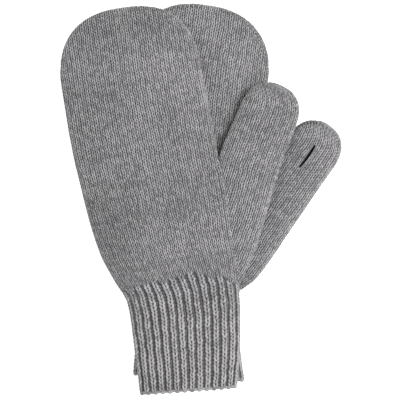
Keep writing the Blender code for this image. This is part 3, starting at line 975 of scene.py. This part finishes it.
def build_hand_seam(mitten, seam):
    """Closing stitches over the rounded end of the hand."""
    name = mitten["name"]
    grids = []
    angles = np.radians(np.linspace(-76, 76, 47))
    for a in angles:
        depth = 1 - math.cos(a)
        y = TIP - TIP_ROUND * SEAM_ROUND_SHARE * depth
        centre, half, _ = (float(q) for q in hand_row(mitten, y))
        half *= float(tip_share(np.array(y)))
        x = centre + math.copysign(half, a)
        inward = np.array([centre - x, TIP - TIP_ROUND - y])
        inward /= np.linalg.norm(inward)
        points = []
        for go in HAND_SEAM_GO:
            px, py = x + inward[0] * go * MM, y + inward[1] * go * MM
            share = float(hand_profile(mitten, np.array(px), np.array(py)))
            z = mitten["palm"] * (HALF_THICK * nose_share(py) * share - SEAM_DEPTH)
            points.append(in_place(mitten, np.array(px), np.array(py), np.array(z)))
        grids.append(stitch_over(points))
    seam_piece(
        f"{name}_hand_seam_stitches",
        grids,
        -0.45,
        seam,
        f"{name}_mitten",
        f"{name}_hand_tip_seam",
    )


def build_thumb_seam(mitten, seam):
    """Closing stitches over the rounded end of the thumb."""
    name = mitten["name"]
    grids = []
    end = mitten["thumb_length"]
    for a in np.radians(np.linspace(-72, 72, 23)):
        v = end - THUMB_ROUND * SEAM_ROUND_SHARE * (1 - math.cos(a))
        centre, half, _ = (float(q) for q in thumb_row(mitten, np.array(v)))
        across = centre + math.copysign(half, a)
        inward = np.array([centre - across, end - THUMB_ROUND - v])
        inward /= np.linalg.norm(inward)
        points = []
        for go in THUMB_SEAM_GO:
            px, pv = across + inward[0] * go * MM, v + inward[1] * go * MM
            ox, oy = thumb_to_own(mitten, px, pv)
            share = float(thumb_profile(mitten, np.array(ox), np.array(oy)))
            z = mitten["palm"] * (HALF_THICK * share - SEAM_DEPTH)
            points.append(in_place(mitten, np.array(ox), np.array(oy), np.array(z)))
        grids.append(stitch_over(points))
    seam_piece(
        f"{name}_thumb_seam_stitches",
        grids,
        -0.6,
        seam,
        f"{name}_thumb_tube",
        f"{name}_thumb_tip_seam",
    )


# ---------------------------------------------------------------- materials
# the dark, middle and light fibres of each wool
WOOL = ((0.062, 0.060, 0.063), (0.190, 0.185, 0.191), (0.40, 0.39, 0.40))
RIB_WOOL = ((0.061, 0.059, 0.061), (0.200, 0.194, 0.198), (0.415, 0.405, 0.41))
SEAM_WOOL = ((0.050, 0.048, 0.050), (0.140, 0.136, 0.140), (0.30, 0.29, 0.30))
SPECK_SCALE, FUZZ_SCALE = 900.0, 3200.0  # specks about 1 mm wide, fuzz about 0.3 mm
BUMP_DEPTH = 0.0003


def wool_material(name, dark, middle, light):
    """Melange wool: light and dark fibres twisted along each strand, with painted shade that
    darkens the colour in the stitches' gaps and the ribs' gutters.
    """
    made = bpy.data.materials.new(name)
    made.use_nodes = True
    tree = made.node_tree
    nodes, links = tree.nodes, tree.links
    shader = nodes["Principled BSDF"]
    shader.inputs["Specular IOR Level"].default_value = 0.25
    shader.inputs["Sheen Weight"].default_value = 0.18
    shader.inputs["Sheen Roughness"].default_value = 0.55

    def attribute(key):
        node = nodes.new("ShaderNodeAttribute")
        node.attribute_name = key
        return node.outputs["Fac"]

    def feed(node, values):
        for k, value in enumerate(values):
            if isinstance(value, (int, float)):
                node.inputs[k].default_value = value
            else:
                links.new(value, node.inputs[k])
        return node.outputs[0]

    def maths(operation, *values):
        node = nodes.new("ShaderNodeMath")
        node.operation = operation
        return feed(node, values)

    def noise(coordinates, scale, detail):
        node = nodes.new("ShaderNodeTexNoise")
        node.inputs["Scale"].default_value = scale
        node.inputs["Detail"].default_value = detail
        links.new(coordinates, node.inputs["Vector"])
        return node.outputs["Fac"]

    place = nodes.new("ShaderNodeTexCoord").outputs["Object"]
    tone, relief_and_painted_shade = attribute("tone"), attribute("relief_and_painted_shade")
    wale, course = attribute("wale"), attribute("course")
    yarn = nodes.new("ShaderNodeCombineXYZ")
    feed(yarn, (maths("MULTIPLY", wale, 9.0), maths("MULTIPLY", course, 3.0), 0.0))
    fibres = noise(yarn.outputs[0], 1.0, 2.0)
    speck = noise(place, SPECK_SCALE, 3.0)
    fuzz = noise(place, FUZZ_SCALE, 2.0)
    level = maths("ADD", maths("MULTIPLY", tone, 0.62), 0.5)
    level = maths("ADD", level, maths("MULTIPLY", maths("SUBTRACT", fibres, 0.5), 0.55))
    level = maths("ADD", level, maths("MULTIPLY", maths("SUBTRACT", speck, 0.5), 0.6))
    # painted shade: the colour gets darker where the stitch's painted shade value is low, in the
    # gaps between the yarn and the ribs' gutters
    level = maths("ADD", level, maths("MULTIPLY", maths("ADD", relief_and_painted_shade, 0.33), 0.88))
    ramp = nodes.new("ShaderNodeValToRGB")
    ramp.color_ramp.elements[0].position = 0.12
    ramp.color_ramp.elements[0].color = (*dark, 1.0)
    ramp.color_ramp.elements[1].position = 0.88
    ramp.color_ramp.elements[1].color = (*light, 1.0)
    between = ramp.color_ramp.elements.new(0.5)
    between.color = (*middle, 1.0)
    links.new(level, ramp.inputs["Fac"])
    links.new(ramp.outputs["Color"], shader.inputs["Base Color"])
    rough = maths("ADD", maths("MULTIPLY", fuzz, 0.12), 0.84)
    links.new(rough, shader.inputs["Roughness"])
    bump = nodes.new("ShaderNodeBump")
    bump.inputs["Strength"].default_value = 0.55
    bump.inputs["Distance"].default_value = BUMP_DEPTH
    along_yarn = maths("MULTIPLY", course, 22.0)
    round_yarn = maths("MULTIPLY", attribute("strand"), 3.0)
    twist = maths("MULTIPLY", maths("SINE", maths("ADD", along_yarn, round_yarn)), 0.3)
    links.new(maths("ADD", maths("ADD", fuzz, speck), twist), bump.inputs["Height"])
    links.new(bump.outputs["Normal"], shader.inputs["Normal"])
    return made


def floor_material():
    """A pale floor that glows a little, as an overexposed studio floor does."""
    made = bpy.data.materials.new("pale_floor")
    made.use_nodes = True
    shader = made.node_tree.nodes["Principled BSDF"]
    shader.inputs["Base Color"].default_value = (0.80, 0.80, 0.80, 1.0)
    shader.inputs["Roughness"].default_value = 0.8
    shader.inputs["Emission Color"].default_value = (1.0, 1.0, 1.0, 1.0)
    shader.inputs["Emission Strength"].default_value = 0.75
    return made


# ---------------------------------------------------------------- studio
FLOOR_HALF = 9.0
FLOOR_HEIGHT = -0.0004
VIEW_WIDTH = 0.296  # metres across the picture, at the height of the mittens' middle
VIEW_HEIGHT = 0.019
LENS = 200.0
SENSOR = 36.0
CAMERA_XY = (-0.0011, -0.0020)
LAMP_PLACE, LAMP_SIZE, LAMP_WATTS = (0.44, 0.10, 0.80), 0.6, 8.3
SKY_STRENGTH = 0.68


def build_studio():
    """Floor, soft light and a camera that looks straight down."""
    mesh = bpy.data.meshes.new("studio_floor")
    corners = [(x * FLOOR_HALF, y * FLOOR_HALF, 0) for x, y in ((-1, -1), (1, -1), (1, 1), (-1, 1))]
    mesh.from_pydata(corners, [], [(0, 1, 2, 3)])
    floor = bpy.data.objects.new("studio_floor", mesh)
    bpy.context.scene.collection.objects.link(floor)
    floor.location.z = FLOOR_HEIGHT
    mesh.materials.append(floor_material())
    world = bpy.data.worlds.new("studio_world")
    bpy.context.scene.world = world
    world.use_nodes = True
    background = world.node_tree.nodes["Background"]
    background.inputs["Color"].default_value = (1.0, 1.0, 1.0, 1.0)
    background.inputs["Strength"].default_value = SKY_STRENGTH
    light = bpy.data.lights.new("soft_box", "AREA")
    light.shape = "DISK"
    light.size = LAMP_SIZE
    light.energy = LAMP_WATTS
    lamp = bpy.data.objects.new("soft_box", light)
    bpy.context.scene.collection.objects.link(lamp)
    lamp.location = LAMP_PLACE
    aim = -Vector(LAMP_PLACE)
    lamp.rotation_euler = aim.to_track_quat("-Z", "Y").to_euler()
    camera = bpy.data.cameras.new("camera")
    camera.lens = LENS
    camera.sensor_width = SENSOR
    eye = bpy.data.objects.new("camera", camera)
    bpy.context.scene.collection.objects.link(eye)
    eye.location = (*CAMERA_XY, VIEW_HEIGHT + VIEW_WIDTH * LENS / SENSOR)
    camera.clip_start, camera.clip_end = 0.05, 50.0
    bpy.context.scene.camera = eye
    settings = bpy.context.scene.view_settings
    settings.view_transform = "Standard"
    settings.look = "None"


def main():
    """Builds everything."""
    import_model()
    build_studio()
    wool = wool_material("melange_wool", *WOOL)
    ribbing = wool_material("melange_wool_rib", *RIB_WOOL)
    seam = wool_material("melange_wool_seam", *SEAM_WOOL)
    for mitten in (RIGHT, LEFT):
        prepare(mitten)
        measure_side(mitten)
        build_hand(mitten, wool, ribbing)
        build_thumb(mitten, wool)
        build_cast_on(mitten, ribbing)
        build_slit_lips(mitten, seam)
        build_hand_seam(mitten, seam)
        build_thumb_seam(mitten, seam)


main()
